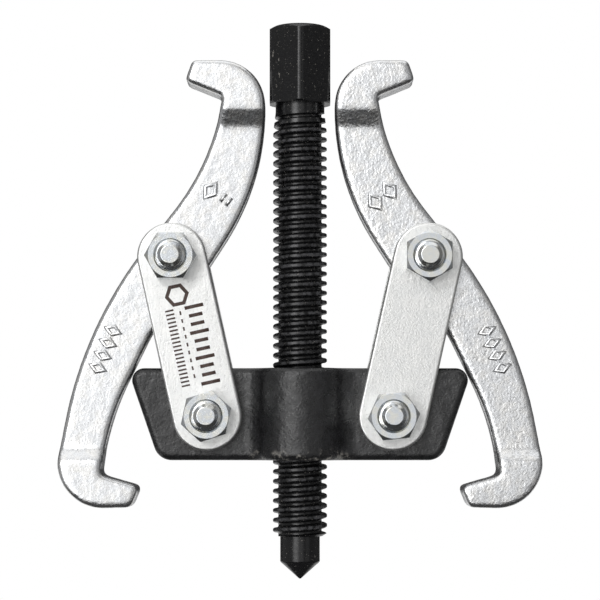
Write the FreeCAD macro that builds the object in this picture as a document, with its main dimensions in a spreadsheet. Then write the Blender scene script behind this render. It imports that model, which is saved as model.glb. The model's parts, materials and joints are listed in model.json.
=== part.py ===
"""Two-jaw gear puller with reversible jaws, as a parametric document (millimetres).

The frame stands upright on the point of the forcing screw: the origin is that point, +Z runs
up the screw to its hex head, +X is to the right and -Y is the front, where the nuts are.
"""
import FreeCAD, Part
import math
import os

import Sketcher
from FreeCAD import Placement, Rotation, Vector

SIZES = [
    ("head_flats", 16.0, "forcing screw: hex head across flats"),
    ("head_bottom", 124.9, "underside of the hex head above the point"),
    ("head_height", 21.4, "hex head, underside to the middle of its crown"),
    ("head_corner_round", 1.8, "rounding of the six upright edges"),
    ("head_crown_radius", 6.6, "radius where the crown turns down to its bevel"),
    ("head_crown_fall", 0.55, "drop of the crown from its middle to that radius"),
    ("head_crown_round", 3.5, "rounding of the crown where it turns down"),
    ("head_foot_radius", 8.2, "radius of the flat underside inside its bevel"),
    ("neck_radius", 6.46, "plain neck under the head"),
    ("neck_bottom", 122.8, "lower end of the plain neck"),
    ("thread_top", 117.7, "where the thread reaches its full radius"),
    ("screw_major", 7.1, "thread crest radius"),
    ("screw_minor", 5.68, "thread root radius"),
    ("screw_pitch", 2.54, "ten threads to the inch"),
    ("screw_root_width", 1.0, "width of the groove's bottom"),
    ("screw_root_round", 0.42, "rounding of the groove's bottom"),
    ("screw_flank_width", 1.34, "groove width where the crest's rounding begins"),
    ("screw_flank_radius", 6.75, "radius where the crest's rounding begins"),
    ("screw_mouth_width", 2.36, "groove width at the blade's outer end"),
    ("screw_mouth_radius", 7.35, "radius that the groove's blade reaches"),
    ("screw_crest_round", 0.35, "rounding of the thread's crest"),
    ("thread_start", 10.15, "height of the groove's centre where it begins, at +X"),
    ("thread_climb", 112.395, "rise of the groove from its start to its end, at the back"),
    ("thread_bottom", 11.1, "lower end of the threaded part"),
    ("thread_lead_in", 1.2, "bevel at the thread's lower end, inwards"),
    ("thread_lead_rise", 0.8, "bevel at the thread's lower end, upwards"),
    ("point_radius", 5.18, "turned shank below the thread"),
    ("point_cone", 4.4, "height of the cone at the lower end"),
    ("point_flat", 0.25, "radius of the blunt tip"),
    ("point_round", 0.6, "rounding where the cone meets the turned shank"),
    ("point_gap", 0.03, "gap between the thread's end face and the turned shank"),
    ("beam_middle", 43.0, "height of the crossbeam's middle"),
    ("beam_height", 24.1, "crossbeam, bottom to top"),
    ("beam_half_top", 45.35, "half length where the sloping end meets the top"),
    ("beam_half_bottom", 37.0, "half length where the sloping end meets the bottom"),
    ("wing_thickness", 8.0, "crossbeam wings, front to back"),
    ("hub_radius", 12.0, "round hub in the middle of the crossbeam"),
    ("hub_blend", 5.4, "hollow blend from the hub to the wings"),
    ("beam_edge", 1.8, "rounding of the forged edges"),
    ("beam_bore", 7.25, "bore for the forcing screw"),
    ("pivot_offset", 24.2, "lower pivots, from the screw's axis"),
    ("pivot_height", 42.4, "lower pivots, above the point"),
    ("link_centres", 42.65, "link plate, pivot to pivot"),
    ("link_lean", 12.67, "link plates lean outwards from upright, degrees"),
    ("link_radius", 9.0, "rounded end of a link plate"),
    ("link_thickness", 3.0, "link plate"),
    ("link_edge", 0.7, "rolled-over edge of the stamped plate"),
    ("link_inner_face", 4.35, "inner face of a link plate from the middle plane"),
    ("pivot_bore", 4.06, "radius of every bolt hole"),
    ("bolt_radius", 4.0, "M8 bolt"),
    ("bolt_flats", 12.8, "bolt head across flats"),
    ("bolt_head", 5.3, "bolt head height"),
    ("bolt_reach", 23.75, "bolt length under the head"),
    ("bolt_end_radius", 2.35, "flat at the bolt's end"),
    ("bolt_end_bevel", 0.9, "height of the bevel at the bolt's end"),
    ("bolt_end_round", 0.3, "rounding on both sides of that bevel"),
    ("bolt_first_step", 3.15, "radius at the foot of that bevel"),
    ("bolt_second_step", 3.6, "radius of the thread's first, part-cut turn"),
    ("bolt_step_fall", 0.15, "fall of each of the two steps under the bevel"),
    ("bolt_step_rise", 0.65, "height of that part-cut turn"),
    ("bolt_groove_root", 0.25, "flat at the bottom of the bolt's thread groove"),
    ("bolt_groove_mouth", 1.18, "groove width at the blade's outer end"),
    ("bolt_groove_radius", 4.2, "radius that the bolt groove's blade reaches"),
    ("bolt_crown_radius", 5.9, "radius of the flat on the bolt head inside its bevel"),
    ("bolt_pitch", 1.25, "M8 thread"),
    ("bolt_root", 3.4, "M8 thread root radius"),
    ("bolt_plain", 14.2, "plain length under the head"),
    ("nut_flats", 11.8, "nut across flats"),
    ("nut_height", 6.4, "nut"),
    ("nut_bore", 4.02, "radius of the nut's bore"),
    ("nut_countersink", 4.35, "radius of the countersink"),
    ("nut_face_radius", 5.75, "radius of the flat on a nut's faces inside their bevels"),
    ("jaw_arm", 4.0, "half thickness of the jaw's arm"),
    ("jaw_claw", 6.25, "half thickness of the claws"),
    ("jaw_edge", 1.25, "rounding of the forged edges"),
]

# Outline of the right jaw about its pivot: x, z and rounding radius of each corner.
JAW_OUTLINE = [
    (-5.1, 52.1, 1.5),       # upper claw, top of the tip
    (-3.2, 46.45, 1.3),      # upper claw, gripping edge of the tip
    (-13.1, 42.45, 0.8),     # root of the upper grip face
    (-9.4, 24.2, 63.0),      # hollow of the back
    (23.4, -17.85, 107.0),   # swell of the back
    (32.3, -65.95, 12.0),    # heel of the lower claw
    (10.4, -65.4, 2.0),      # lower claw, bottom of the tip
    (8.05, -59.8, 1.3),      # lower claw, gripping edge of the tip
    (18.5, -56.8, 1.6),      # root of the lower grip face
    (15.75, -41.35, 70.0),   # inner side of the lower arm
    (4.3, -17.95, 25.0),     # belly below the pivot
    (-7.2, -6.45, 40.0),     # belly beside the pivot
    (-24.4, 20.3, 65.0),     # inner side of the upper arm
    (-24.4, 52.1, 11.8),     # heel of the upper claw
]

JAW_TOP = max(z for _, z, _ in JAW_OUTLINE)
JAW_BOTTOM = min(z for _, z, _ in JAW_OUTLINE)

# Where the arm thickens into each claw: arm end and claw end of the slope, about the pivot.
UPPER_SLOPE = (34.35, 39.25)
LOWER_SLOPE = (-49.65, -53.25)
SLOPE_ROUNDS = (2.5, 1.5)

BEAM_END_ROUNDS = (3.2, 4.8)
CLEAR = 3.0                  # how far a cutting outline reaches past the solid
TOUCH = 0.01                 # how near two heights are when they count as the same
LEAST_CUT = 0.001            # a cut that takes less than this volume has missed
UPRIGHT_LEAN = 0.05          # a wall whose normal leans less than this to the front is upright
FACE_LEAN = 0.3              # a face whose normal leans more than this is a front or back face
FULL_TURN = 360.0
CROWN_SLOPE = math.tan(math.radians(30.0))

# Side (-1 left, +1 right), level, and the angle of one nut corner from +X.
NUT_TURNS = [
    (-1, "lower", 18.0),
    (-1, "upper", 0.0),
    (1, "lower", 5.5),
    (1, "upper", 30.0),
]
SIDE_NAMES = {-1: "left", 1: "right"}

doc = FreeCAD.newDocument("GearPuller")
sheet = doc.addObject("Spreadsheet::Sheet", "Sizes")
for row, (alias, value, note) in enumerate(SIZES, start=1):
    sheet.set(f"A{row}", note)
    sheet.set(f"B{row}", str(value))
    sheet.setAlias(f"B{row}", alias)
doc.recompute()

solids = []


def size(alias):
    """Value of a cell of the sheet."""
    return float(sheet.get(alias))


def new_body(label):
    """An empty body whose label is the name of the piece."""
    body = doc.addObject("PartDesign::Body", label)
    body.Label = label
    solids.append(body)
    return body


def new_sketch(body, name, plane, lift=None):
    """A sketch on one of the body's origin planes, raised along its normal by an expression."""
    sketch = body.newObject("Sketcher::SketchObject", name)
    origin_plane = next(f for f in body.Origin.OriginFeatures if f.Role == plane)
    sketch.AttachmentSupport = (origin_plane, "")
    sketch.MapMode = "FlatFace"
    if lift:
        sketch.setExpression("AttachmentOffset.Base.z", lift)
    return sketch


def arc(start, middle, end):
    """Arc through three points, laid anticlockwise as the sketcher stores it."""
    if (middle - start).cross(end - start).z < 0:
        start, end = end, start
    return Part.ArcOfCircle(start, middle, end)


def rounded_outline(corners):
    """Lines and arcs of a closed outline; each corner is (u, v, radius)."""
    points = [Vector(u, v, 0) for u, v, _ in corners]
    trims = []
    for i, (_, _, radius) in enumerate(corners):
        before = (points[i - 1] - points[i]).normalize()
        after = (points[(i + 1) % len(points)] - points[i]).normalize()
        half = before.getAngle(after) / 2
        reach = radius / math.tan(half)
        middle = points[i] + (before + after).normalize() * (radius / math.sin(half) - radius)
        trims.append((points[i] + before * reach, middle, points[i] + after * reach))
    pieces = []
    for i, (_, _, radius) in enumerate(corners):
        start, middle, end = trims[i]
        if radius > 0:
            pieces.append(arc(start, middle, end))
        pieces.append(Part.LineSegment(end, trims[(i + 1) % len(trims)][0]))
    return pieces


def draw(sketch, pieces):
    """Add a closed chain of lines and arcs to a sketch, joined end to end and held in place."""
    first = len(sketch.Geometry)
    sketch.addGeometry(pieces, False)
    ends = [(piece.StartPoint, piece.EndPoint) for piece in sketch.Geometry[first:]]
    count = len(pieces)
    for i in range(count):
        j = (i + 1) % count
        a, b = min(
            ((a, b) for a in (0, 1) for b in (0, 1)),
            key=lambda ab: ends[i][ab[0]].distanceToPoint(ends[j][ab[1]]),
        )
        sketch.addConstraint(Sketcher.Constraint("Coincident", first + i, a + 1, first + j, b + 1))
    for i in range(count):
        sketch.addConstraint(Sketcher.Constraint("Block", first + i))


def draw_circle(sketch, radius, centre=(0.0, 0.0)):
    """Add a circle whose radius, and place where it is off the centre, follow expressions."""
    where = [size_of(value) for value in centre]
    index = sketch.addGeometry(Part.Circle(Vector(*where, 0), Vector(0, 0, 1), size_of(radius)), False)
    bind(sketch, Sketcher.Constraint("Radius", index, size_of(radius)), radius)
    for kind, value, place in zip(("DistanceX", "DistanceY"), centre, where):
        bind(sketch, Sketcher.Constraint(kind, -1, 1, index, 3, place), value)


def size_of(value):
    """Number behind an expression such as 'Sizes.bolt_radius', or the number itself."""
    if isinstance(value, str):
        return float(sheet.evalExpression(value.replace("Sizes.", "")))
    return value


def bind(sketch, constraint, value):
    """Add a constraint and, where its value is an expression, tie it to the sheet."""
    index = sketch.addConstraint(constraint)
    if isinstance(value, str):
        sketch.setExpression(f"Constraints[{index}]", value)


def draw_hexagon(sketch, flats, first_corner=0.0):
    """Add a regular hexagon whose width across flats follows an expression."""
    radius = size_of(flats) / math.sqrt(3)
    corners = []
    for i in range(6):
        angle = math.radians(first_corner + 60 * i)
        corners.append(Vector(radius * math.cos(angle), radius * math.sin(angle), 0))
    sides = [Part.LineSegment(corners[i], corners[(i + 1) % 6]) for i in range(6)]
    sketch.addGeometry(sides, False)
    ring = sketch.addGeometry(Part.Circle(Vector(0, 0, 0), Vector(0, 0, 1), radius), True)
    for i in range(6):
        sketch.addConstraint(Sketcher.Constraint("Coincident", i, 2, (i + 1) % 6, 1))
        sketch.addConstraint(Sketcher.Constraint("PointOnObject", i, 1, ring))
    for i in range(1, 6):
        sketch.addConstraint(Sketcher.Constraint("Equal", 0, i))
    sketch.addConstraint(Sketcher.Constraint("Coincident", ring, 3, -1, 1))
    sketch.addConstraint(Sketcher.Constraint("Angle", 0, math.radians(first_corner + 120)))
    bind(sketch, Sketcher.Constraint("Radius", ring, radius), f"{flats} / sqrt(3)")


def pad(body, sketch, length, both_ways=False):
    """Pad a sketch by an expression, one way or evenly both ways."""
    feature = body.newObject("PartDesign::Pad", sketch.Name + "_pad")
    feature.Profile = sketch
    feature.SideType = "Symmetric" if both_ways else "One side"
    feature.setExpression("Length", length)
    doc.recompute()
    return feature


def cut_through(body, sketch):
    """Cut a sketch right through the body, both ways."""
    volume = body.Shape.Volume
    feature = body.newObject("PartDesign::Pocket", sketch.Name + "_cut")
    feature.Profile = sketch
    feature.SideType = "Symmetric"
    feature.Type = "ThroughAll"
    doc.recompute()
    check_cut(body, feature, volume)
    return feature


def keep_inside(body, name, plane, outline):
    """Trim the body to an outline on one of its planes by cutting away all outside it."""
    sketch = new_sketch(body, name, plane)
    reach = body.Shape.BoundBox.DiagonalLength
    draw(sketch, rounded_outline([
        (-reach, -reach, 0),
        (reach, -reach, 0),
        (reach, reach, 0),
        (-reach, reach, 0),
    ]))
    draw(sketch, rounded_outline(outline))
    return cut_through(body, sketch)


def turn(body, sketch, kind="Revolution"):
    """Turn a sketch right round the upright axis, adding (Revolution) or cutting (Groove)."""
    volume = body.Shape.Volume if body.Shape.Solids else 0.0
    feature = body.newObject(f"PartDesign::{kind}", sketch.Name + "_turn")
    feature.Profile = sketch
    feature.ReferenceAxis = (sketch, ["V_Axis"])
    feature.Angle = FULL_TURN
    doc.recompute()
    if kind == "Groove":
        check_cut(body, feature, volume)
    return feature


def check_cut(body, feature, volume):
    """Stop if a cutting feature took nothing away."""
    if body.Shape.Volume > volume - LEAST_CUT:
        raise RuntimeError(f"{body.Label}: {feature.Name} cuts nothing")


def fillet(body, edges, radius):
    """Round the named edges of the body's present shape."""
    base = body.Tip
    volume = body.Shape.Volume
    feature = body.newObject("PartDesign::Fillet", body.Label + "_rounds")
    feature.Base = (base, edges)
    feature.setExpression("Radius", radius)
    doc.recompute()
    check_cut(body, feature, volume)
    return feature


def edge_names(shape, wanted):
    """Names of the edges that a test picks."""
    return [f"Edge{i}" for i, edge in enumerate(shape.Edges, start=1) if wanted(edge)]


def rim_edges(shape):
    """Edges between an upright side wall (normal without y) and a front or back face."""
    def is_rim(edge):
        middle = edge.valueAt((edge.FirstParameter + edge.LastParameter) / 2)
        leans = []
        for face in shape.ancestorsOfType(edge, Part.Face):
            u, v = face.Surface.parameter(middle)
            leans.append(abs(face.normalAt(u, v).y))
        return len(leans) == 2 and min(leans) < UPRIGHT_LEAN and max(leans) > FACE_LEAN
    return edge_names(shape, is_rim)


def thread_groove(body, name, blade, pitch, start, climb):
    """Cut a right-handed helical groove whose blade stands at the +X side, even above and below.

    The blade's lower half is a list of (radius, groove width, rounding) from root to mouth.
    """
    sketch = new_sketch(body, name, "XZ_Plane")
    middle = size(start)
    lower = [(radius, middle - width / 2, rounding) for radius, width, rounding in blade]
    upper = [(radius, middle + width / 2, rounding) for radius, width, rounding in reversed(blade)]
    draw(sketch, rounded_outline(lower + upper))
    volume = body.Shape.Volume
    feature = body.newObject("PartDesign::SubtractiveHelix", name + "_helix")
    feature.Profile = sketch
    feature.ReferenceAxis = (sketch, ["V_Axis"])
    feature.Mode = "pitch-height-angle"
    feature.setExpression("Pitch", f"Sizes.{pitch}")
    feature.setExpression("Height", climb)
    doc.recompute()
    check_cut(body, feature, volume)
    return feature


def bevel_hexagon(body, name, level, flat_radius, flats, downwards=False):
    """Bevel the corners of a hexagonal end at 30 degrees, outside a flat circle."""
    rim = flats / math.sqrt(3) + CLEAR
    fall = (rim - flat_radius) * CROWN_SLOPE
    way = 1 if downwards else -1
    sketch = new_sketch(body, name, "XZ_Plane")
    draw(sketch, rounded_outline([
        (flat_radius, level, 0),
        (rim, level, 0),
        (rim, level + way * fall, 0),
    ]))
    turn(body, sketch, "Groove")


def make_forcing_screw():
    """Hex head, neck and threaded shank, down to where the turned point begins.

    The thread's groove is cut last, so that every other cut meets smooth faces.
    """
    body = new_body("forcing_screw")
    major, neck = size("screw_major"), size("neck_radius")
    bottom, head = size("thread_bottom"), size("head_bottom")
    shank = new_sketch(body, "screw_shank", "XZ_Plane")
    draw(shank, rounded_outline([
        (0, bottom, 0),
        (major - size("thread_lead_in"), bottom, 0),
        (major, bottom + size("thread_lead_rise"), 0),
        (major, size("thread_top"), 0),
        (neck, size("neck_bottom"), 0),
        (neck, head, 0),
        (0, head, 0),
    ]))
    turn(body, shank)
    head_sketch = new_sketch(body, "screw_head", "XY_Plane", "Sizes.head_bottom")
    draw_hexagon(head_sketch, "Sizes.head_flats", 30.0)
    pad(body, head_sketch, "Sizes.head_height")
    top = head + size("head_height")

    def is_upright(edge):
        ends = [vertex.Point for vertex in edge.Vertexes]
        if len(ends) != 2:
            return False
        longer_than_neck = abs(ends[0].z - ends[1].z) > head - size("neck_bottom")
        return min(p.z for p in ends) > head - TOUCH and longer_than_neck

    fillet(body, edge_names(body.Shape, is_upright), "Sizes.head_corner_round")
    crown = new_sketch(body, "screw_crown", "XZ_Plane")
    rim = size("head_flats") / math.sqrt(3) + CLEAR
    shoulder, fall = size("head_crown_radius"), size("head_crown_fall")
    draw(crown, rounded_outline([
        (0, top, 0),
        (shoulder, top - fall, size("head_crown_round")),
        (rim, top - fall - (rim - shoulder) * CROWN_SLOPE, 0),
        (rim, top + CLEAR, 0),
        (0, top + CLEAR, 0),
    ]))
    turn(body, crown, "Groove")
    bevel_hexagon(body, "screw_foot", head, size("head_foot_radius"), size("head_flats"), True)
    thread_groove(body, "screw_thread", [
        (size("screw_minor"), size("screw_root_width"), size("screw_root_round")),
        (size("screw_flank_radius"), size("screw_flank_width"), size("screw_crest_round")),
        (size("screw_mouth_radius"), size("screw_mouth_width"), 0),
    ], "screw_pitch", "thread_start", "Sizes.thread_climb")
    return body


def make_screw_point():
    """Smooth turned shank and cone that press on the shaft."""
    body = new_body("screw_point")
    radius, cone = size("point_radius"), size("point_cone")
    top = size("thread_bottom") - size("point_gap")
    outline = new_sketch(body, "point_shank", "XZ_Plane")
    draw(outline, rounded_outline([
        (0, 0, 0),
        (size("point_flat"), 0, 0),
        (radius, cone, size("point_round")),
        (radius, top, 0),
        (0, top, 0),
    ]))
    turn(body, outline)
    return body


def beam_plan():
    """Plan outline of the crossbeam: two wings blended into a round hub."""
    half = size("wing_thickness") / 2
    hub, blend = size("hub_radius"), size("hub_blend")
    end = size("beam_half_top") + CLEAR
    run = math.sqrt((hub + blend) ** 2 - (half + blend) ** 2)
    centre = Vector(run, half + blend, 0)
    wing, meet = Vector(run, half, 0), centre * (hub / (hub + blend))
    middle = centre + ((wing - centre) + (meet - centre)).normalize() * blend
    tip, top = Vector(end, half, 0), Vector(0, hub, 0)

    def place(point, across, up):
        return Vector(point.x * across, point.y * up, 0)

    pieces = []
    for across, up in ((1, 1), (-1, -1)):
        ahead = [place(p, across, up) for p in (tip, wing, middle, meet, top)]
        back = [place(p, -across, up) for p in (meet, middle, wing, tip)]
        pieces += [
            Part.LineSegment(ahead[0], ahead[1]),
            arc(ahead[1], ahead[2], ahead[3]),
            arc(ahead[3], ahead[4], back[0]),
            arc(back[0], back[1], back[2]),
            Part.LineSegment(back[2], back[3]),
            Part.LineSegment(back[3], place(tip, -across, -up)),
        ]
    return pieces


def make_crossbeam():
    """Forged beam: the screw runs through its hub and the links hang on its wings."""
    body = new_body("crossbeam")
    plan = new_sketch(body, "beam_plan", "XY_Plane")
    draw(plan, beam_plan())
    pad(body, plan, f"Sizes.beam_height + {2 * CLEAR}", both_ways=True)
    half = size("beam_height") / 2
    top, low = size("beam_half_top"), size("beam_half_bottom")
    keep_inside(body, "beam_front", "XZ_Plane", [
        (-top, half, BEAM_END_ROUNDS[0]),
        (top, half, BEAM_END_ROUNDS[0]),
        (low, -half, BEAM_END_ROUNDS[1]),
        (-low, -half, BEAM_END_ROUNDS[1]),
    ])
    fillet(body, rim_edges(body.Shape), "Sizes.beam_edge")
    bore = new_sketch(body, "beam_bore_circle", "XY_Plane")
    draw_circle(bore, "Sizes.beam_bore")
    cut_through(body, bore)
    pivots = new_sketch(body, "beam_pivots", "XZ_Plane")
    for side in ("", "-"):
        draw_circle(pivots, "Sizes.pivot_bore", (
            f"{side}Sizes.pivot_offset", "Sizes.pivot_height - Sizes.beam_middle",
        ))
    cut_through(body, pivots)
    body.setExpression("Placement.Base.z", "Sizes.beam_middle")
    return body


def make_jaw(side, pivot):
    """Forged reversible jaw: a thick claw at each end of an S-shaped arm."""
    body = new_body(f"jaw_{SIDE_NAMES[side]}")
    front = new_sketch(body, f"{body.Label}_front", "XZ_Plane")
    draw(front, rounded_outline(JAW_OUTLINE))
    pad(body, front, f"2 * Sizes.jaw_claw + {CLEAR}", both_ways=True)
    arm, claw = size("jaw_arm"), size("jaw_claw")
    top, bottom = JAW_TOP + CLEAR, JAW_BOTTOM - CLEAR
    right_half = [
        (claw, bottom, 0),
        (claw, LOWER_SLOPE[1], SLOPE_ROUNDS[1]),
        (arm, LOWER_SLOPE[0], SLOPE_ROUNDS[0]),
        (arm, UPPER_SLOPE[0], SLOPE_ROUNDS[0]),
        (claw, UPPER_SLOPE[1], SLOPE_ROUNDS[1]),
        (claw, top, 0),
    ]
    left_half = [(-y, z, radius) for y, z, radius in reversed(right_half)]
    keep_inside(body, f"{body.Label}_side", "YZ_Plane", right_half + left_half)
    fillet(body, rim_edges(body.Shape), "Sizes.jaw_edge")
    eye = new_sketch(body, f"{body.Label}_eye", "XZ_Plane")
    draw_circle(eye, "Sizes.pivot_bore")
    cut_through(body, eye)
    body.Placement = Placement(pivot, Rotation(Vector(0, 0, 1), 0 if side > 0 else 180))
    return body


def make_link(side, face, pivot):
    """Stamped plate between the lower and the upper bolt, rolled over on its outer edge."""
    body = new_body(f"link_{SIDE_NAMES[side]}_{'front' if face < 0 else 'rear'}")
    length, radius = size("link_centres"), size("link_radius")
    plate = new_sketch(body, f"{body.Label}_outline", "XZ_Plane")
    draw(plate, [
        arc(Vector(-radius, 0), Vector(0, -radius), Vector(radius, 0)),
        Part.LineSegment(Vector(radius, 0), Vector(radius, length)),
        arc(Vector(radius, length), Vector(0, length + radius), Vector(-radius, length)),
        Part.LineSegment(Vector(-radius, length), Vector(-radius, 0)),
    ])
    draw_circle(plate, "Sizes.pivot_bore")
    draw_circle(plate, "Sizes.pivot_bore", (0.0, "Sizes.link_centres"))
    pad(body, plate, "Sizes.link_thickness")
    thickness = size("link_thickness")

    def is_outer_edge(edge):
        box = edge.BoundBox
        reach = max(abs(box.XMin), abs(box.XMax))
        flat = abs(box.YMin + thickness) < TOUCH and box.YLength < TOUCH
        return flat and reach > (radius + size("pivot_bore")) / 2

    fillet(body, edge_names(body.Shape, is_outer_edge), "Sizes.link_edge")
    lean = Rotation(Vector(0, 1, 0), side * size("link_lean"))
    facing = Rotation(Vector(0, 0, 1), 0 if face < 0 else 180)
    place = pivot + Vector(0, face * size("link_inner_face"), 0)
    body.Placement = Placement(place, lean * facing)
    return body


def facing_front(turned=0.0):
    """Rotation that lays a piece made along +Z on its side, its +Z to the front."""
    return Rotation(Vector(1, 0, 0), 90) * Rotation(Vector(0, 0, 1), turned)


def make_bolt(side, level, pivot):
    """Hex bolt from the rear: head, plain shank, thread, part-cut first turn and bevelled end."""
    body = new_body(f"bolt_{SIDE_NAMES[side]}_{level}")
    radius, reach = size("bolt_radius"), size("bolt_reach")
    shank = new_sketch(body, f"{body.Label}_shank", "XZ_Plane")
    inside_head, rounding = -size("bolt_head") / 2, size("bolt_end_round")
    below_bevel, second = reach - size("bolt_end_bevel"), size("bolt_second_step")
    fall, rise = size("bolt_step_fall"), size("bolt_step_rise")
    draw(shank, rounded_outline([
        (0, inside_head, 0),
        (radius, inside_head, 0),
        (radius, below_bevel - 2 * fall - rise, 0),
        (second, below_bevel - fall - rise, 0),
        (second, below_bevel - fall, 0),
        (size("bolt_first_step"), below_bevel, rounding),
        (size("bolt_end_radius"), reach, rounding),
        (0, reach, 0),
    ]))
    turn(body, shank)
    thread_groove(body, f"{body.Label}_thread", [
        (size("bolt_root"), size("bolt_groove_root"), 0),
        (size("bolt_groove_radius"), size("bolt_groove_mouth"), 0),
    ], "bolt_pitch", "bolt_plain", "Sizes.bolt_reach - Sizes.bolt_plain")
    head = new_sketch(body, f"{body.Label}_head", "XY_Plane", "-Sizes.bolt_head")
    draw_hexagon(head, "Sizes.bolt_flats", 0.0)
    pad(body, head, "Sizes.bolt_head")
    bevel_hexagon(
        body, f"{body.Label}_crown", -size("bolt_head"), size("bolt_crown_radius"),
        size("bolt_flats"), True,
    )
    outer = size("link_inner_face") + size("link_thickness")
    body.Placement = Placement(pivot + Vector(0, outer, 0), facing_front())
    return body


def make_nut(side, level, turned, pivot):
    """Hex nut on the front, bevelled on both faces and countersunk."""
    body = new_body(f"nut_{SIDE_NAMES[side]}_{level}")
    block = new_sketch(body, f"{body.Label}_block", "XY_Plane")
    draw_hexagon(block, "Sizes.nut_flats", 0.0)
    draw_circle(block, "Sizes.nut_bore")
    pad(body, block, "Sizes.nut_height")
    for name, at, down in (("outer", size("nut_height"), False), ("inner", 0, True)):
        bevel_hexagon(
            body, f"{body.Label}_{name}", at, size("nut_face_radius"), size("nut_flats"), down,
        )
    sink = new_sketch(body, f"{body.Label}_sink", "XZ_Plane")
    height, mouth = size("nut_height"), size("nut_countersink")
    depth = mouth - size("nut_bore")
    draw(sink, rounded_outline([
        (0, height - depth, 0),
        (size("nut_bore"), height - depth, 0),
        (mouth + depth, height + depth, 0),
        (0, height + depth, 0),
    ]))
    turn(body, sink, "Groove")
    outer = size("link_inner_face") + size("link_thickness")
    body.Placement = Placement(pivot - Vector(0, outer, 0), facing_front(turned))
    return body


def lower_pivot(side):
    """Where a link hangs on the crossbeam."""
    return Vector(side * size("pivot_offset"), 0, size("pivot_height"))


def upper_pivot(side):
    """Where a link carries its jaw."""
    lean = math.radians(size("link_lean"))
    rise = Vector(side * math.sin(lean), 0, math.cos(lean))
    return lower_pivot(side) + rise * size("link_centres")


make_forcing_screw()
make_screw_point()
make_crossbeam()
for side in (-1, 1):
    make_jaw(side, upper_pivot(side))
    for face in (-1, 1):
        make_link(side, face, lower_pivot(side))
    make_bolt(side, "lower", lower_pivot(side))
    make_bolt(side, "upper", upper_pivot(side))
for side, level, turned in NUT_TURNS:
    pivot = lower_pivot(side) if level == "lower" else upper_pivot(side)
    make_nut(side, level, turned, pivot)
doc.recompute()

for item in doc.Objects:
    if "Invalid" in item.State or "Error" in item.State:
        raise RuntimeError(f"{item.Name} failed: {item.State}")
for body in solids:
    if body.Shape.isNull() or not body.Shape.isValid() or len(body.Shape.Solids) != 1:
        raise RuntimeError(f"{body.Label} is not one sound solid")

os.makedirs("parts", exist_ok=True)
for body in solids:
    body.Shape.exportStep(f"parts/{body.Label}.step")
    box = body.Shape.BoundBox
    print(
        f"{body.Label}: {body.Shape.Volume:.0f} mm3, "
        f"x {box.XMin:.2f}..{box.XMax:.2f}, y {box.YMin:.2f}..{box.YMax:.2f}, "
        f"z {box.ZMin:.2f}..{box.ZMax:.2f}"
    )
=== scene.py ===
"""Two-jaw gear puller: finishes, raised marks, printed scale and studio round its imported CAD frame.

Laid out as an add-on and run as a script. Lengths are metres in the CAD frame: the screw's axis is Z,
its point stands on z = 0 and the front of the puller faces -Y.
"""

import json
import math

import bmesh
import bpy
from mathutils import Matrix, Vector


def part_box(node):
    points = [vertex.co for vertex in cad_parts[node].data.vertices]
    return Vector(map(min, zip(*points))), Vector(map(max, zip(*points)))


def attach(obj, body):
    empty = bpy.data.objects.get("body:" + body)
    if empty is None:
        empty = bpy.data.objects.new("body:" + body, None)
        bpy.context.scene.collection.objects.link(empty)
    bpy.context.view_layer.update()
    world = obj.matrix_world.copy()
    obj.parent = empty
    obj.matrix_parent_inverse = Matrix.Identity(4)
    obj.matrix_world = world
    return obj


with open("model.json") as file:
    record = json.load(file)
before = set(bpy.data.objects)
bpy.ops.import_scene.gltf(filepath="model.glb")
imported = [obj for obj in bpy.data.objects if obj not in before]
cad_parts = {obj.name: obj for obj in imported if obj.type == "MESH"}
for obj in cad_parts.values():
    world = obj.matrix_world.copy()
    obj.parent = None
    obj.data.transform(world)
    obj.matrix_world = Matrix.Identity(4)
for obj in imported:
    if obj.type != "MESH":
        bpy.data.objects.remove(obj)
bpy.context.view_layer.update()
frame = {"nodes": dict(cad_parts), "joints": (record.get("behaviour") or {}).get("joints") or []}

bl_info = {
    "name": "Gear Puller",
    "version": (1, 0, 0),
    "blender": (4, 5, 0),
    "location": "3D View > Sidebar > Gear Puller",
    "description": "Finishes, marks and studio for a two-jaw gear puller",
    "category": "Object",
}

MM = 0.001
SIDES = {"left": -1, "right": 1}

# Marks on the jaws. Places are measured from a jaw's pivot: outwards and upwards, then the lean.
ARM_FRONT = -4.0 * MM  # front faces of the jaws' arms
UPPER_MARK = (-11.9 * MM, 16.2 * MM, math.radians(-38))
LOWER_MARK = (17.4 * MM, -24.0 * MM, math.radians(-22))
UPPER_LOZENGE = (1.7 * MM, 2.3 * MM)
UPPER_OFFSET = 2.4 * MM
LOWER_LOZENGE = (1.9 * MM, 1.2 * MM)
LOZENGE_PITCH = 3.5 * MM
LOWER_STROKE_SHARE = 0.9
SHARPEST_MITRE = 0.5  # cosine past which a sharper corner is widened no further

# Scale on the left link, measured from the middle between its two nuts and up the plate.
PLATE_CLEARANCE = 0.008 * MM
BOLD_BARS, BOLD_PITCH, BOLD_TOP = 10, 2.25 * MM, 7.4 * MM
FINE_TICKS, TICK_PITCH, TICK_TOP = 20, 1.05 * MM, 7.6 * MM
DASHES, DASH_PITCH, DASH_TOP = 9, 2.1 * MM, 6.4 * MM
HEXAGON_RADIUS, HEXAGON_HEIGHT = 2.7 * MM, 11.2 * MM
FINE_STROKE_SHARE = 0.5

# Studio, in metres but for the sensor's millimetres.
KEY_LAMP_PLACE = (-0.24, -0.62, 0.36)
KEY_LAMP_WIDTH = 0.22
FLOOR_RADIUS = 3.0
FLOOR_FADE = (0.02, 0.2)  # where the paper starts and ends its fade into white
FLOOR_WHITE = 0.985  # share of white at the middle of the floor
SENSOR_WIDTH = 36
NEAREST_SEEN = 0.01


# ---------------------------------------------------------------- places read from the frame

def middle(node):
    """Centre of a CAD node's box."""
    low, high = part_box(node)
    return (low + high) / 2


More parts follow.
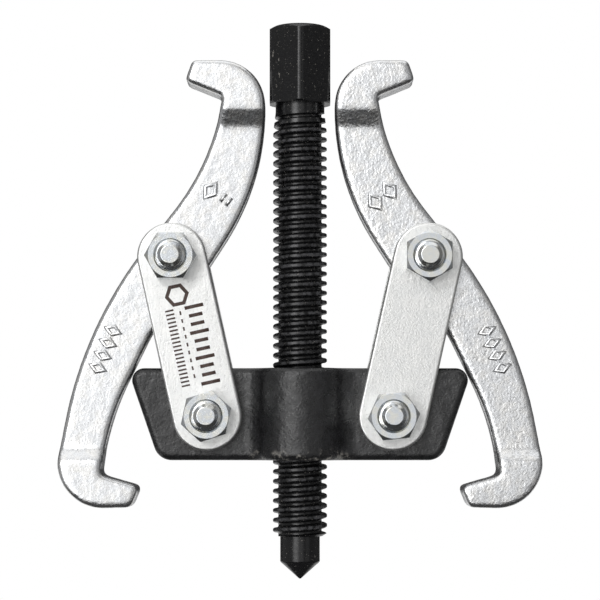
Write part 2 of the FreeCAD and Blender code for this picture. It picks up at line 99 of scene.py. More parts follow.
def joint_point(name):
    """A point on a joint's axis."""
    found = next(joint for joint in frame["joints"] if joint["name"] == name)
    return Vector(found["pos_m"])


# ---------------------------------------------------------------- node graphs

class Graph:
    """A node tree being wired: the calls add nodes and return the socket that carries the result."""

    def __init__(self, tree):
        self.tree = tree
        tree.nodes.clear()

    def feed(self, socket, value):
        """Links a socket to an input, or sets the input to a plain value."""
        if isinstance(value, bpy.types.NodeSocket):
            self.tree.links.new(value, socket)
        else:
            socket.default_value = value

    def add(self, kind, inputs=None, output=0, **settings):
        """Adds a node with its settings and inputs; returns one of its outputs, if it has any."""
        node = self.tree.nodes.new(kind)
        for name, value in settings.items():
            setattr(node, name, value)
        for name, value in (inputs or {}).items():
            self.feed(node.inputs[name], value)
        return node.outputs[output] if node.outputs else None

    def place(self, stretch=(1, 1, 1)):
        """Where a point lies on the piece, in metres, stretched along the axes."""
        here = self.add("ShaderNodeTexCoord", output="Object")
        if stretch == (1, 1, 1):
            return here
        return self.add("ShaderNodeMapping", {"Vector": here, "Scale": stretch})

    def noise(self, size, detail=2.0, rough=0.5, stretch=(1, 1, 1), twist=0.0):
        """Cloudy noise from 0 to 1 whose blots are about size metres across."""
        return self.add("ShaderNodeTexNoise", {
            "Vector": self.place(stretch), "Scale": 1 / size, "Detail": detail,
            "Roughness": rough, "Distortion": twist})

    def cells(self, size):
        """Distance inside rounded cells about size metres across."""
        return self.add("ShaderNodeTexVoronoi", {
            "Vector": self.place(), "Scale": 1 / size}, output="Distance", feature="SMOOTH_F1")

    def span(self, value, low, high, out_low=0.0, out_high=1.0):
        """value from low..high moved to out_low..out_high with soft ends."""
        return self.add("ShaderNodeMapRange", {
            "Value": value, "From Min": low, "From Max": high, "To Min": out_low,
            "To Max": out_high}, interpolation_type="SMOOTHSTEP")

    def math(self, operation, first, second=0.0):
        """The result of a sum, product or function of one or two values."""
        return self.add("ShaderNodeMath", {0: first, 1: second}, operation=operation)

    def mix(self, share, first, second):
        """Colour first where share is 0 and second where it is 1."""
        node = self.tree.nodes.new("ShaderNodeMix")
        node.data_type = "RGBA"
        for name, value in (("Factor_Float", share), ("A_Color", first), ("B_Color", second)):
            self.feed(next(s for s in node.inputs if s.identifier == name), value)
        return next(s for s in node.outputs if s.identifier == "Result_Color")

    def bump(self, height, depth, below=None):
        """Surface normal of a relief of the given depth in metres, laid over the one below."""
        inputs = {"Height": height, "Distance": depth, "Strength": 1.0}
        if below is not None:
            inputs["Normal"] = below
        return self.add("ShaderNodeBump", inputs)

    def part(self, vector, axis):
        """One coordinate of a vector socket: 0, 1 or 2 for X, Y or Z."""
        return self.add("ShaderNodeSeparateXYZ", {"Vector": vector}, output=axis)

    def radius(self):
        """Distance from the screw's axis, in metres."""
        flat = self.place((1, 1, 0))
        return self.add("ShaderNodeVectorMath", {0: flat}, output="Value", operation="LENGTH")


def finish_called(name, colour, metallic, roughness, **more):
    """A material with one principled shader: returns the material, its graph and the shader's inputs."""
    material = bpy.data.materials.new(name)
    material.use_nodes = True
    graph = Graph(material.node_tree)
    shader = graph.tree.nodes.new("ShaderNodeBsdfPrincipled")
    shader.inputs["Base Color"].default_value = colour
    shader.inputs["Metallic"].default_value = metallic
    shader.inputs["Roughness"].default_value = roughness
    for label, value in more.items():
        shader.inputs[label.replace("_", " ")].default_value = value
    graph.add("ShaderNodeOutputMaterial", {"Surface": shader.outputs[0]})
    material.diffuse_color = colour
    return material, graph, shader.inputs


def wire(graph, inputs, **sockets):
    """Joins result sockets to the shader's inputs of those names."""
    for label, socket in sockets.items():
        graph.tree.links.new(socket, inputs[label.replace("_", " ")])


def shade(colour, light, tint=(1.0, 1.0, 1.0)):
    """The colour made lighter or darker and tinted, with full opacity."""
    return tuple(min(1.0, c * light * t) for c, t in zip(colour[:3], tint)) + (1.0,)


def coat_node(name, material):
    """Gives a CAD node its finish."""
    piece = frame["nodes"][name]
    piece.data.materials.clear()
    piece.data.materials.append(material)


# ---------------------------------------------------------------- finishes

def zinc_forging(look, side):
    """Bright zinc over a shot-blasted forging: fine pebble grain with painted shade in its hollows, cool
    patches.

    The left jaw's grain is shallower and its painted shade in the hollows weaker than the right one's, so the
    left jaw renders lighter.
    """
    base = look.zinc_colour
    grain = look.left_grain_and_shade_share if side == "left" else 1.0
    depth = look.pebble_depth * grain
    material, graph, inputs = finish_called("zinc_forging_" + side, base, 1.0, look.forging_roughness)
    pebble = graph.noise(look.pebble_size, 2.0, 0.6)
    pits = graph.cells(look.pebble_size * 1.3)
    swell = graph.noise(look.pebble_size * 5, 2.0, 0.5)
    relief = graph.bump(swell, depth * 0.5)
    relief = graph.bump(pits, depth * 0.5, relief)
    relief = graph.bump(pebble, depth, relief)
    patches = graph.span(graph.noise(3.0 * MM, 3.0, 0.6, twist=0.4), 0.4, 0.66)
    tint = graph.mix(patches, shade(base, 0.97, (0.985, 0.995, 1.015)), shade(base, 1.02, (1.01, 1.0, 0.985)))
    # Painted shade: the colour darkens to half in the pebble grain's hollows, less on the left jaw
    hollows = graph.span(pebble, 0.46, 0.3)
    colour = graph.mix(graph.math("MULTIPLY", hollows, 0.7 * grain), tint, shade(base, 0.5))
    rough = graph.span(pebble, 0.3, 0.7, look.forging_roughness + 0.1, look.forging_roughness - 0.05)
    wire(graph, inputs, Base_Color=colour, Roughness=rough, Normal=relief)
    return material


def zinc_plate(look):
    """Satin zinc on rolled plate: fine grain with painted shade in its hollows, faint rolling streaks and a
    few rubbed spots.
    """
    base = look.plate_colour
    material, graph, inputs = finish_called("zinc_plate", base, 1.0, look.plate_roughness)
    grain = graph.noise(look.plate_grain_size, 2.0, 0.6)
    streaks = graph.noise(1.2 * MM, 2.0, 0.5, stretch=(1.0, 1.0, 0.22))
    relief = graph.bump(streaks, look.plate_grain_depth * 0.35)
    relief = graph.bump(grain, look.plate_grain_depth, relief)
    patches = graph.span(graph.noise(3.5 * MM, 3.0, 0.6), 0.4, 0.65)
    colour = graph.mix(patches, shade(base, 0.98), shade(base, 1.02, (1.005, 1.0, 0.995)))
    # Painted shade: the colour darkens in the fine grain's hollows
    specks = graph.span(grain, 0.4, 0.28)
    colour = graph.mix(graph.math("MULTIPLY", specks, 0.5), colour, shade(base, 0.6))
    rough = graph.span(graph.noise(1.4 * MM, 3.0, 0.6), 0.35, 0.65,
                       look.plate_roughness - 0.04, look.plate_roughness + 0.05)
    wire(graph, inputs, Base_Color=colour, Roughness=rough, Normal=relief)
    return material


def zinc_hardware(look):
    """Glossy zinc on turned and pressed hardware: fine scuffs, blue passivation and straw patches."""
    base = look.hardware_colour
    material, graph, inputs = finish_called("zinc_hardware", base, 1.0, look.hardware_roughness)
    scuffs = graph.noise(0.7 * MM, 3.0, 0.6, stretch=(1.0, 0.6, 1.6), twist=0.8)
    relief = graph.bump(scuffs, 0.035 * MM)
    patches = graph.span(graph.noise(2.2 * MM, 2.0, 0.6), 0.4, 0.62)
    colour = graph.mix(patches, shade(base, 0.97, (0.96, 0.99, 1.03)), shade(base, 1.0, (1.02, 1.01, 0.96)))
    rough = graph.span(scuffs, 0.3, 0.7, look.hardware_roughness - 0.05, look.hardware_roughness + 0.1)
    wire(graph, inputs, Base_Color=colour, Roughness=rough, Normal=relief)
    return material


def black_forging(look):
    """Satin blackened forging: hammered swells, fine grain and rubbed specks low on the hub."""
    base = look.black_colour
    material, graph, inputs = finish_called("black_forging", base, 0.0, look.black_roughness,
                                            Specular_IOR_Level=0.72)
    grain = graph.noise(0.55 * MM, 3.0, 0.65)
    swell = graph.noise(3.2 * MM, 3.0, 0.55)
    relief = graph.bump(swell, look.black_swell_depth)
    relief = graph.bump(grain, look.black_grain_depth, relief)
    mottle = graph.span(graph.noise(2.5 * MM, 4.0, 0.65), 0.35, 0.68)
    colour = graph.mix(mottle, shade(base, 0.7), shade(base, 1.5, (1.0, 1.0, 1.03)))
    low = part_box("crossbeam")[0].z
    near_foot = graph.span(graph.part(graph.place(), 2), low + 3.6 * MM, low + 1.2 * MM)
    near_hub = graph.span(graph.radius(), 15.0 * MM, 12.5 * MM)
    speckle = graph.span(graph.noise(2.4 * MM, 4.0, 0.75), 0.52, 0.66)
    worn = graph.math("MULTIPLY", graph.math("MULTIPLY", near_foot, near_hub), speckle)
    colour = graph.mix(worn, colour, look.worn_colour)
    rough = graph.span(graph.noise(1.4 * MM, 3.0, 0.6), 0.3, 0.7,
                       look.black_roughness - 0.07, look.black_roughness + 0.1)
    wire(graph, inputs, Base_Color=colour, Roughness=rough, Normal=relief)
    return material


def black_oxide(look):
    """Oiled black oxide on the screw: lighter thread crests, partly rubbed oxide and partly a painted
    highlight, tiny specks and fine scratches.
    """
    base = look.oxide_colour
    material, graph, inputs = finish_called("black_oxide_screw", base, 0.0, look.oxide_roughness,
                                            Specular_IOR_Level=0.5)
    scuffs = graph.noise(0.9 * MM, 3.0, 0.6, stretch=(1.0, 1.0, 1.7), twist=0.5)
    relief = graph.bump(scuffs, look.oxide_scuff_depth)
    crest = look.crest_radius
    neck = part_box("forcing_screw")[1].z - look.head_length
    # The thread's crests below the neck are painted lighter: partly rubbed oxide, partly a painted highlight
    # where light glints on them
    outer = graph.span(graph.radius(), crest - 0.35 * MM, crest - 0.05 * MM)
    threaded = graph.span(graph.part(graph.place(), 2), neck, neck - 2.0 * MM)
    rubbed = graph.span(graph.noise(1.5 * MM, 3.0, 0.65), 0.4, 0.62)
    crest_wear_and_highlight = graph.math("MULTIPLY", graph.math("MULTIPLY", outer, threaded), rubbed)
    specks = graph.span(graph.noise(0.45 * MM, 2.0, 0.6), 0.665, 0.72)
    scratches = graph.span(graph.noise(0.8 * MM, 2.0, 0.5, stretch=(1.0, 1.0, 0.3)), 0.74, 0.8)
    colour = graph.mix(crest_wear_and_highlight, base, look.rubbed_crest_and_highlight_colour)
    colour = graph.mix(graph.math("MAXIMUM", specks, scratches), colour, look.worn_colour)
    rough = graph.span(scuffs, 0.3, 0.7, look.oxide_roughness - 0.06, look.oxide_roughness + 0.1)
    wire(graph, inputs, Base_Color=colour, Roughness=rough, Normal=relief)
    return material


def print_ink(look):
    """Dark brown ink of the printed scale, slightly uneven."""
    base = look.ink_colour
    material, graph, inputs = finish_called("print_ink", base, 0.0, 0.55)
    fade = graph.span(graph.noise(0.5 * MM, 3.0, 0.65), 0.35, 0.75)
    colour = graph.mix(fade, base, shade(base, 1.9))
    relief = graph.bump(graph.noise(0.3 * MM, 2.0, 0.5), 0.01 * MM)
    wire(graph, inputs, Base_Color=colour, Normal=relief)
    return material


def soften_forging(node, look):
    """Rounds a forging's edges, fills its inner corners a little and sinks hollows in its skin."""
    piece = frame["nodes"][node]
    skin = piece.modifiers.new("skin", "REMESH")
    skin.mode = "VOXEL"
    skin.voxel_size = look.skin_size
    skin.use_smooth_shade = True
    worn = piece.modifiers.new("worn_edges", "SMOOTH")
    worn.factor = 0.5
    worn.iterations = look.edge_rounds
    clouds = bpy.data.textures.new(node + "_skin", "CLOUDS")
    clouds.noise_scale = look.skin_swell
    clouds.noise_depth = 2
    hollow = piece.modifiers.new("hollows", "DISPLACE")
    hollow.texture = clouds
    hollow.texture_coords = "LOCAL"
    hollow.mid_level = 1.0  # the lightest cloud stays put and every other one sinks
    hollow.strength = look.skin_depth


# ---------------------------------------------------------------- marks in mesh

# Section of a ridge: across and up, as shares of half its width and of its height.
RIDGE = ((1.0, 0.0), (0.86, 0.3), (0.55, 0.82), (0.25, 1.0),
         (-0.25, 1.0), (-0.55, 0.82), (-0.86, 0.3), (-1.0, 0.0))


def ridge(bm, path, width, height, closed):
    """Adds a low ridge with sloping sides along a path on the plane y = 0; it stands towards -Y."""
    count = len(path)
    rings = []
    for index, point in enumerate(path):
        before = path[index - 1] if closed or index else point
        after = path[(index + 1) % count] if closed or index < count - 1 else point
        along = (after - before).normalized()
        across = Vector((along.z, 0, -along.x)) * width / 2
        if closed:
            across /= max(SHARPEST_MITRE, (point - before).normalized().dot(along))
        rings.append([bm.verts.new(point + across * side + Vector((0, -height * rise, 0)))
                      for side, rise in RIDGE])
    pairs = [(rings[i], rings[i + 1]) for i in range(count - 1)]
    if closed:
        pairs.append((rings[-1], rings[0]))
    last = len(RIDGE) - 1
    for first, second in pairs:
        for step in range(last):
            bm.faces.new((first[step], first[step + 1], second[step + 1], second[step]))
        bm.faces.new((first[last], first[0], second[0], second[last]))
    if not closed:
        bm.faces.new(rings[0])
        bm.faces.new(list(reversed(rings[-1])))


def outline(radius_x, radius_z, sides, x=0.0, z=0.0):
    """A closed stroke round x, z with that many corners: four make a lozenge."""
    turns = [2 * math.pi * i / sides for i in range(sides)]
    path = [Vector((radius_x * math.cos(a), 0, radius_z * math.sin(a))) for a in turns]
    return [point + Vector((x, 0, z)) for point in path], True


def mark_piece(name, strokes, width, height, place, material, body):
    """Makes one piece from strokes, each (path, closed), and lets it ride on its body."""
    bm = bmesh.new()
    for path, closed in strokes:
        ridge(bm, path, width, height, closed)
    bmesh.ops.recalc_face_normals(bm, faces=bm.faces)
    mesh = bpy.data.meshes.new(name)
    bm.to_mesh(mesh)
    bm.free()
    mesh.transform(place)
    mesh.polygons.foreach_set("use_smooth", [True] * len(mesh.polygons))
    mesh.materials.append(material)
    piece = bpy.data.objects.new(name, mesh)
    bpy.context.scene.collection.objects.link(piece)
    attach(piece, body)


def bar(x, z, length, lean=0.0):
    """A straight open stroke centred at x, z and leaning from upright by lean."""
    half = Vector((math.sin(lean), 0, math.cos(lean))) * length / 2
    centre = Vector((x, 0, z))
    return [centre - half, centre, centre + half], False


def upper_strokes(side):
    """A lozenge and two bars on the left jaw, and two lozenges on the right one."""
    strokes = [outline(*UPPER_LOZENGE, 4, x=-UPPER_OFFSET)]
    if side == "left":
        strokes += [bar(x * MM, 0.6 * MM, 2.6 * MM) for x in (1.4, 3.2)]
    else:
        strokes.append(outline(*UPPER_LOZENGE, 4, x=UPPER_OFFSET))
    return strokes


def lower_strokes():
    """A row of four lozenges down the jaw's long arm."""
    return [outline(*LOWER_LOZENGE, 4, z=(index - 1.5) * LOZENGE_PITCH) for index in range(4)]


def bold_strokes():
    """A row of bars, every third one longer, with a hexagon above them."""
    across = math.pi / 2
    bars = [bar(2.9 * MM, BOLD_TOP - i * BOLD_PITCH, (3.6 if i % 3 else 5.0) * MM, across)
            for i in range(BOLD_BARS)]
    return bars + [outline(HEXAGON_RADIUS, HEXAGON_RADIUS, 6, x=-0.8 * MM, z=HEXAGON_HEIGHT)]


def fine_strokes():
    """A close row of ticks along the plate's edge and a row of short dashes beside it."""
    across = math.pi / 2
    ticks = [bar(-3.6 * MM, TICK_TOP - i * TICK_PITCH, 2.2 * MM, across) for i in range(FINE_TICKS)]
    return ticks + [bar(-0.9 * MM, DASH_TOP - i * DASH_PITCH, 1.0 * MM) for i in range(DASHES)]


def jaw_place(side, outwards, upwards, lean, depth):
    """Where a mark lies on a jaw, from the jaw's pivot and the depth of its arm's front face."""
    sign, pivot = SIDES[side], joint_point("jaw_" + side + "_pivot")
    place = Matrix.Translation((pivot.x + sign * outwards, depth, pivot.z + upwards))
    return place @ Matrix.Rotation(sign * lean, 4, "Y")


# ---------------------------------------------------------------- settings

class PullerFinishes(bpy.types.PropertyGroup):
    """Colours and finishes of the puller's parts."""

    zinc_colour: bpy.props.FloatVectorProperty(
        name="Forging Zinc", description="Colour of the zinc on the forged jaws",
        subtype="COLOR", size=4, min=0, max=1, default=(0.86, 0.863, 0.862, 1.0))
    plate_colour: bpy.props.FloatVectorProperty(
        name="Plate Zinc", description="Colour of the zinc on the link plates",
        subtype="COLOR", size=4, min=0, max=1, default=(0.85, 0.855, 0.845, 1.0))
    hardware_colour: bpy.props.FloatVectorProperty(
        name="Hardware Zinc", description="Colour of the zinc on bolts and nuts",
        subtype="COLOR", size=4, min=0, max=1, default=(0.78, 0.79, 0.79, 1.0))
    black_colour: bpy.props.FloatVectorProperty(
        name="Blackened Forging", description="Colour of the crossbeam",
        subtype="COLOR", size=4, min=0, max=1, default=(0.008, 0.008, 0.0085, 1.0))
    oxide_colour: bpy.props.FloatVectorProperty(
        name="Black Oxide", description="Colour of the forcing screw",
        subtype="COLOR", size=4, min=0, max=1, default=(0.005, 0.005, 0.0055, 1.0))
    # Lighter crest colour: partly rubbed oxide, partly a painted highlight on the crests
    rubbed_crest_and_highlight_colour: bpy.props.FloatVectorProperty(
        name="Rubbed Crests", description="Colour where the thread's crests are rubbed",
        subtype="COLOR", size=4, min=0, max=1, default=(0.045, 0.045, 0.048, 1.0))
    worn_colour: bpy.props.FloatVectorProperty(
        name="Worn Spots", description="Colour of worn spots in the black finish",
        subtype="COLOR", size=4, min=0, max=1, default=(0.17, 0.16, 0.145, 1.0))
    ink_colour: bpy.props.FloatVectorProperty(
        name="Printed Scale", description="Colour of the scale printed on a link",
        subtype="COLOR", size=4, min=0, max=1, default=(0.050, 0.030, 0.024, 1.0))
    skin_size: bpy.props.FloatProperty(
        name="Skin Size", description="Size of the facets of the jaws' forged skin",
        subtype="DISTANCE", unit="LENGTH", min=0.0002, max=0.002, default=0.0004, precision=5)
    edge_rounds: bpy.props.IntProperty(
        name="Edge Rounding", description="How often the jaws' edges are rounded off", min=0,
        max=60, default=24)
    skin_swell: bpy.props.FloatProperty(
        name="Skin Swell", description="Size of the shallow hollows in the jaws' skin",
        subtype="DISTANCE", unit="LENGTH", min=0.0005, max=0.02, default=0.002, precision=5)
    skin_depth: bpy.props.FloatProperty(
        name="Skin Depth", description="Depth of the shallow hollows in the jaws' skin",
        subtype="DISTANCE", unit="LENGTH", min=0, max=0.001, default=0.0001, precision=5)
    # Crests outside this radius are painted lighter: partly rubbed oxide, partly a painted highlight
    crest_radius: bpy.props.FloatProperty(
        name="Crest Radius", description="Radius of the thread's crests, where the oxide is rubbed",
        subtype="DISTANCE", unit="LENGTH", min=0.001, max=0.05, default=0.0071, precision=5)
    head_length: bpy.props.FloatProperty(
        name="Head Length", description="Length of the screw's head and neck, which stay black",
        subtype="DISTANCE", unit="LENGTH", min=0.001, max=0.1, default=0.0235, precision=5)
    oxide_scuff_depth: bpy.props.FloatProperty(
        name="Screw Scuffs", description="Depth of the scuffs on the forcing screw",
        subtype="DISTANCE", unit="LENGTH", min=0, max=0.0003, default=0.00004, precision=6)
    black_swell_depth: bpy.props.FloatProperty(
        name="Beam Swells", description="Depth of the crossbeam's hammered swells",
        subtype="DISTANCE", unit="LENGTH", min=0, max=0.001, default=0.00036, precision=6)
    forging_roughness: bpy.props.FloatProperty(
        name="Forging Roughness", description="Roughness of the jaws", subtype="FACTOR",
        min=0.1, max=1, default=0.27)
    plate_roughness: bpy.props.FloatProperty(
        name="Plate Roughness", description="Roughness of the link plates", subtype="FACTOR",
        min=0.1, max=1, default=0.42)
    hardware_roughness: bpy.props.FloatProperty(
        name="Hardware Roughness", description="Roughness of bolts and nuts", subtype="FACTOR",
        min=0.1, max=1, default=0.17)
    black_roughness: bpy.props.FloatProperty(
        name="Beam Roughness", description="Roughness of the crossbeam", subtype="FACTOR",
        min=0.1, max=1, default=0.28)
    oxide_roughness: bpy.props.FloatProperty(
        name="Screw Roughness", description="Roughness of the forcing screw", subtype="FACTOR",
        min=0.1, max=1, default=0.2)
    # Share of the left jaw's grain depth and of its painted shade in the hollows, beside the right one's
    left_grain_and_shade_share: bpy.props.FloatProperty(
        name="Left Grain", description="Strength of the left jaw's grain beside the right one's",
        subtype="FACTOR", min=0, max=1, default=0.5)
    pebble_size: bpy.props.FloatProperty(
        name="Pebble Size", description="Size of the forging's pebble grain",
        subtype="DISTANCE", unit="LENGTH", min=0.0001, max=0.005, default=0.00058, precision=5)
    plate_grain_size: bpy.props.FloatProperty(
        name="Plate Grain Size", description="Size of the link plates' fine grain",
        subtype="DISTANCE", unit="LENGTH", min=0.0001, max=0.005, default=0.00045, precision=5)
    pebble_depth: bpy.props.FloatProperty(
        name="Pebble Depth", description="Depth of the forging's pebble grain",
        subtype="DISTANCE", unit="LENGTH", min=0, max=0.0005, default=0.00009, precision=5)
    plate_grain_depth: bpy.props.FloatProperty(
        name="Plate Grain", description="Depth of the link plates' fine grain",
        subtype="DISTANCE", unit="LENGTH", min=0, max=0.0002, default=0.000065, precision=6)
    black_grain_depth: bpy.props.FloatProperty(
        name="Beam Grain", description="Depth of the crossbeam's grain",
        subtype="DISTANCE", unit="LENGTH", min=0, max=0.0003, default=0.00011, precision=6)


class PullerMarks(bpy.types.PropertyGroup):
    """Sizes of the raised marks on the jaws and of the printed scale."""

    stroke: bpy.props.FloatProperty(
        name="Raised Stroke", description="Width of the raised strokes on the jaws",
        subtype="DISTANCE", unit="LENGTH", min=0.0003, max=0.003, default=0.0013, precision=5)
    rise: bpy.props.FloatProperty(
        name="Raised Height", description="How far the strokes stand out of the jaws",
        subtype="DISTANCE", unit="LENGTH", min=0.0001, max=0.001, default=0.0005, precision=5)
    sink: bpy.props.FloatProperty(
        name="Raised Root", description="How deep the strokes are rooted in the jaws",
        subtype="DISTANCE", unit="LENGTH", min=0.0001, max=0.001, default=0.00035, precision=5)
    print_stroke: bpy.props.FloatProperty(
        name="Printed Stroke", description="Width of the bold strokes of the printed scale",
        subtype="DISTANCE", unit="LENGTH", min=0.0002, max=0.003, default=0.00105, precision=5)
    print_rise: bpy.props.FloatProperty(
        name="Ink Thickness", description="How far the ink stands out of the plate",
        subtype="DISTANCE", unit="LENGTH", min=0.00001, max=0.0001, default=0.00003, precision=6)


class PullerStudio(bpy.types.PropertyGroup):
    """Camera, floor and light."""

    camera_distance: bpy.props.FloatProperty(
        name="Camera Distance", description="Distance from the camera to the screw's axis",
        subtype="DISTANCE", unit="LENGTH", min=0.2, max=5, default=0.616)
    camera_height: bpy.props.FloatProperty(
        name="Camera Height", description="Height of the camera above the screw's point",
        subtype="DISTANCE", unit="LENGTH", min=0, max=2, default=0.0388)
    aim_height: bpy.props.FloatProperty(
        name="Aim Height", description="Height on the screw's axis at which the camera aims",
        subtype="DISTANCE", unit="LENGTH", min=0, max=0.5, default=0.0731)
    lens: bpy.props.FloatProperty(
        name="Lens", description="Focal length on a sensor 36 mm wide", subtype="NONE",
        min=20, max=400, default=140.3)
    key_watts: bpy.props.FloatProperty(
        name="Key Lamp", description="Power of the soft lamp at the front left, in watts", min=0,
        max=50, default=0.5)
    floor_drop: bpy.props.FloatProperty(
        name="Floor Drop", description="How far the floor lies under the point, so that the screw "
        "can be wound down and the jaws swung out over it",
        subtype="DISTANCE", unit="LENGTH", min=0, max=1, default=0.07)
    floor_colour: bpy.props.FloatVectorProperty(
        name="Floor", description="Colour of the pale floor", subtype="COLOR", size=4,
        min=0, max=1, default=(0.9, 0.9, 0.9, 1.0))
    surround: bpy.props.FloatProperty(
        name="Surround", description="Light from the studio's dark parts", min=0, max=2, default=0.05)
    bright_panel: bpy.props.FloatProperty(
        name="Bright Panel", description="Light from the bright panel left of the middle", min=0,
        max=5, default=2.5)
    front_panel: bpy.props.FloatProperty(
        name="Front Panel", description="Light from the panel in front", min=0, max=5, default=0.74)
    left_panel: bpy.props.FloatProperty(
        name="Left Panel", description="Light from the left side", min=0, max=5, default=0.23)
    right_panel: bpy.props.FloatProperty(
        name="Right Panel", description="Light from the narrow panel on the right", min=0, max=5,
        default=0.4)
    top_panel: bpy.props.FloatProperty(
        name="Top Panel", description="Light from above", min=0, max=5, default=1.05)
    low_back_panel: bpy.props.FloatProperty(
        name="Low Back Panel", description="Light from the low panels behind", min=0, max=5, default=0.7)


# ---------------------------------------------------------------- operators

class PULLER_OT_finish_screw(bpy.types.Operator):
    """Gives the forcing screw and its point their black oxide."""

    bl_idname = "puller.finish_screw"
    bl_label = "Forcing Screw"

    def execute(self, context):
        material = black_oxide(context.scene.puller_finishes)
        for node in ("forcing_screw", "screw_point"):
            coat_node(node, material)
        return {"FINISHED"}


class PULLER_OT_finish_crossbeam(bpy.types.Operator):
    """Gives the crossbeam its blackened, satin forging."""

    bl_idname = "puller.finish_crossbeam"
    bl_label = "Crossbeam"

    def execute(self, context):
        coat_node("crossbeam", black_forging(context.scene.puller_finishes))
        return {"FINISHED"}


class PULLER_OT_finish_jaws(bpy.types.Operator):
    """Gives both jaws their zinc and the raised marks on their front faces."""

    bl_idname = "puller.finish_jaws"
    bl_label = "Jaws"

    def execute(self, context):
        look, marks = context.scene.puller_finishes, context.scene.puller_marks
        front, height = ARM_FRONT + marks.sink, marks.rise + marks.sink
        for side in SIDES:
            jaw = "jaw_" + side
            material = zinc_forging(look, side)
            coat_node(jaw, material)
            soften_forging(jaw, look)
            mark_piece(jaw + "_upper_mark", upper_strokes(side), marks.stroke, height,
                       jaw_place(side, *UPPER_MARK, front), material, jaw)
            mark_piece(jaw + "_lower_mark", lower_strokes(), marks.stroke * LOWER_STROKE_SHARE, height,
                       jaw_place(side, *LOWER_MARK, front), material, jaw)
        return {"FINISHED"}


class PULLER_OT_finish_links(bpy.types.Operator):
    """Gives the four link plates their satin zinc and prints the scale on the left front one."""

    bl_idname = "puller.finish_links"
    bl_label = "Link Plates"

    def execute(self, context):
        look, marks = context.scene.puller_finishes, context.scene.puller_marks
        material = zinc_plate(look)
        for side in SIDES:
            for face in ("front", "rear"):
                coat_node("link_{}_{}".format(side, face), material)
        lower, upper = middle("nut_left_lower"), middle("nut_left_upper")
        lean = math.atan2(upper.x - lower.x, upper.z - lower.z)
        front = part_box("link_left_front")[0].y + PLATE_CLEARANCE
        centre = (lower + upper) / 2
        place = Matrix.Translation((centre.x, front, centre.z)) @ Matrix.Rotation(lean, 4, "Y")
        ink = print_ink(look)
        for name, strokes, share in (("bold", bold_strokes(), 1.0),
                                     ("fine", fine_strokes(), FINE_STROKE_SHARE)):
            mark_piece("link_left_scale_" + name, strokes, marks.print_stroke * share,
                       marks.print_rise, place, ink, "links_left")
        return {"FINISHED"}


class PULLER_OT_finish_bolts_and_nuts(bpy.types.Operator):
    """Gives the four bolts and four nuts their glossy zinc."""

    bl_idname = "puller.finish_bolts_and_nuts"
    bl_label = "Bolts and Nuts"

    def execute(self, context):
        material = zinc_hardware(context.scene.puller_finishes)
        for side in SIDES:
            for level in ("lower", "upper"):
                for part in ("bolt", "nut"):
                    coat_node("{}_{}_{}".format(part, side, level), material)
        return {"FINISHED"}


def studio_world(studio):
    """White where the camera sees the surround, and a studio of soft panels for all other rays.

    Each panel spans a turn from the front, positive to the right, and a lift above the horizon,
    both in degrees. The panels stand in front, brighter left of the middle, on both sides, above
    and low behind; the rest is nearly dark.
    """
    world = bpy.data.worlds.new("studio")
    world.use_nodes = True
    graph = Graph(world.node_tree)
    facing = graph.add("ShaderNodeTexCoord", output="Generated")
    east, north, up = (graph.part(facing, axis) for axis in range(3))
    turn = graph.math("ARCTAN2", east, graph.math("MULTIPLY", north, -1.0))
    turn = graph.math("MULTIPLY", turn, 180 / math.pi)
    lift = graph.math("MULTIPLY", graph.math("ARCSINE", up), 180 / math.pi)
    aside = graph.math("ABSOLUTE", turn)

    def between(value, low, high, soft):
        """1 from low to high and 0 outside, with edges that fade over soft degrees either way."""
        return graph.math("MULTIPLY", graph.span(value, low - soft, low + soft),
                          graph.span(value, high + soft, high - soft))

    light = studio.surround
    for around, (left, right), (low, high), soft, strength in (
        (turn, (-39, -13), (-20, 42), 5, studio.bright_panel),
        (turn, (-13, 20), (-20, 42), 5, studio.front_panel),
        (turn, (30, 56), (-24, 40), 5, studio.right_panel),
        (turn, (-120, -46), (-30, 50), 8, studio.left_panel),
        (turn, (62, 120), (-20, 50), 8, studio.right_panel * 0.3),  # far right, much fainter
        (aside, (-10, 200), (50, 100), 8, studio.top_panel),
        (aside, (128, 200), (-38, -7), 3, studio.low_back_panel),
    ):
        patch = graph.math("MULTIPLY", between(around, left, right, soft), between(lift, low, high, soft))
        light = graph.math("ADD", graph.math("MULTIPLY", patch, strength), light)
    falling = graph.span(turn, -45, 45, 1.06, 0.94)  # a little brighter on the left
    light = graph.math("MULTIPLY", light, falling)
    mirrored = graph.add("ShaderNodeBackground", {"Color": (1, 1, 1, 1), "Strength": light})
    seen = graph.add("ShaderNodeBackground", {"Color": (1, 1, 1, 1), "Strength": 1.0})
    direct = graph.add("ShaderNodeLightPath", output="Is Camera Ray")
    both = graph.add("ShaderNodeMixShader", {0: direct, 1: mirrored, 2: seen})
    graph.add("ShaderNodeOutputWorld", {"Surface": both})
    return world


def soft_lamp(name, place, aim, width, watts):
    """A square soft lamp at place, facing aim, which the camera doesn't see."""
    lamp = bpy.data.lights.new(name, "AREA")
    lamp.shape = "RECTANGLE"
    lamp.size = lamp.size_y = width
    lamp.energy = watts
    holder = bpy.data.objects.new(name, lamp)
    bpy.context.scene.collection.objects.link(holder)
    holder.location = place
    holder.rotation_euler = (Vector(aim) - Vector(place)).to_track_quat("-Z", "Y").to_euler()
    holder.visible_camera = False


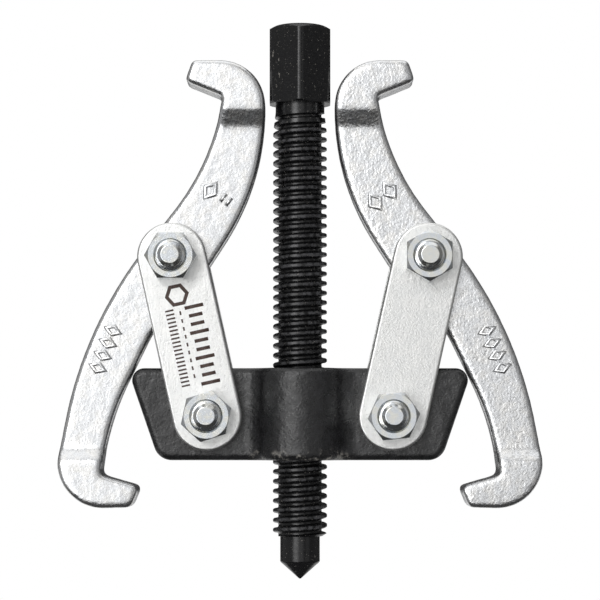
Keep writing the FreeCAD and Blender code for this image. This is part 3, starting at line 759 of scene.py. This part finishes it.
def pale_floor(studio):
    """A large pale disc below the puller, fading into the white behind it."""
    bm = bmesh.new()
    bmesh.ops.create_circle(bm, cap_ends=True, segments=128, radius=FLOOR_RADIUS)
    mesh = bpy.data.meshes.new("floor")
    bm.to_mesh(mesh)
    bm.free()
    material = bpy.data.materials.new("pale_floor")
    material.use_nodes = True
    graph = Graph(material.node_tree)
    tooth = graph.bump(graph.noise(1.5 * MM, 3.0, 0.6), 0.05 * MM)
    paper = graph.add("ShaderNodeBsdfDiffuse", {"Color": studio.floor_colour, "Normal": tooth})
    white = graph.add("ShaderNodeEmission", {"Color": (1, 1, 1, 1), "Strength": 1.0})
    fade = graph.span(graph.radius(), *FLOOR_FADE, FLOOR_WHITE, 1.0)
    both = graph.add("ShaderNodeMixShader", {0: fade, 1: paper, 2: white})
    graph.add("ShaderNodeOutputMaterial", {"Surface": both})
    mesh.materials.append(material)
    floor = bpy.data.objects.new("floor", mesh)
    bpy.context.scene.collection.objects.link(floor)
    floor.location.z = -studio.floor_drop
    floor.visible_glossy = False


class PULLER_OT_build_studio(bpy.types.Operator):
    """Sets up the surround, the pale floor, the soft key lamp and the camera."""

    bl_idname = "puller.build_studio"
    bl_label = "Studio"

    def execute(self, context):
        scene, studio = context.scene, context.scene.puller_studio
        scene.world = studio_world(studio)
        pale_floor(studio)
        soft_lamp("key_lamp", KEY_LAMP_PLACE, (0, 0, studio.aim_height), KEY_LAMP_WIDTH, studio.key_watts)
        camera = bpy.data.cameras.new("camera")
        camera.lens = studio.lens
        camera.sensor_width = SENSOR_WIDTH
        camera.clip_start = NEAREST_SEEN
        holder = bpy.data.objects.new("camera", camera)
        scene.collection.objects.link(holder)
        holder.location = (0, -studio.camera_distance, studio.camera_height)
        rise = math.atan2(studio.aim_height - studio.camera_height, studio.camera_distance)
        holder.rotation_euler = (math.pi / 2 + rise, 0, 0)
        scene.camera = holder
        scene.view_settings.view_transform = "Standard"
        return {"FINISHED"}


SETTINGS = {
    "puller_finishes": PullerFinishes,
    "puller_marks": PullerMarks,
    "puller_studio": PullerStudio,
}

STEPS = (
    PULLER_OT_finish_screw,
    PULLER_OT_finish_crossbeam,
    PULLER_OT_finish_jaws,
    PULLER_OT_finish_links,
    PULLER_OT_finish_bolts_and_nuts,
    PULLER_OT_build_studio,
)


class PULLER_PT_bench(bpy.types.Panel):
    """Lists the steps that dress the puller and build its studio, and their settings."""

    bl_idname = "PULLER_PT_bench"
    bl_label = "Gear Puller"
    bl_space_type = "VIEW_3D"
    bl_region_type = "UI"
    bl_category = "Gear Puller"

    def draw(self, context):
        for step in STEPS:
            self.layout.operator(step.bl_idname)
        for owner, group in SETTINGS.items():
            box = self.layout.box()
            for name in group.__annotations__:
                box.prop(getattr(context.scene, owner), name)


def register():
    """Registers the settings, the operators and the panel."""
    for owner, group in SETTINGS.items():
        bpy.utils.register_class(group)
        setattr(bpy.types.Scene, owner, bpy.props.PointerProperty(type=group))
    for kind in (*STEPS, PULLER_PT_bench):
        bpy.utils.register_class(kind)


def unregister():
    """Removes the settings, the operators and the panel."""
    for kind in (PULLER_PT_bench, *reversed(STEPS)):
        bpy.utils.unregister_class(kind)
    for owner, group in reversed(SETTINGS.items()):
        delattr(bpy.types.Scene, owner)
        bpy.utils.unregister_class(group)


def main():
    """Dresses the puller step by step."""
    register()
    for step in STEPS:
        group, name = step.bl_idname.split(".")
        getattr(getattr(bpy.ops, group), name)()


if __name__ == "__main__":
    main()
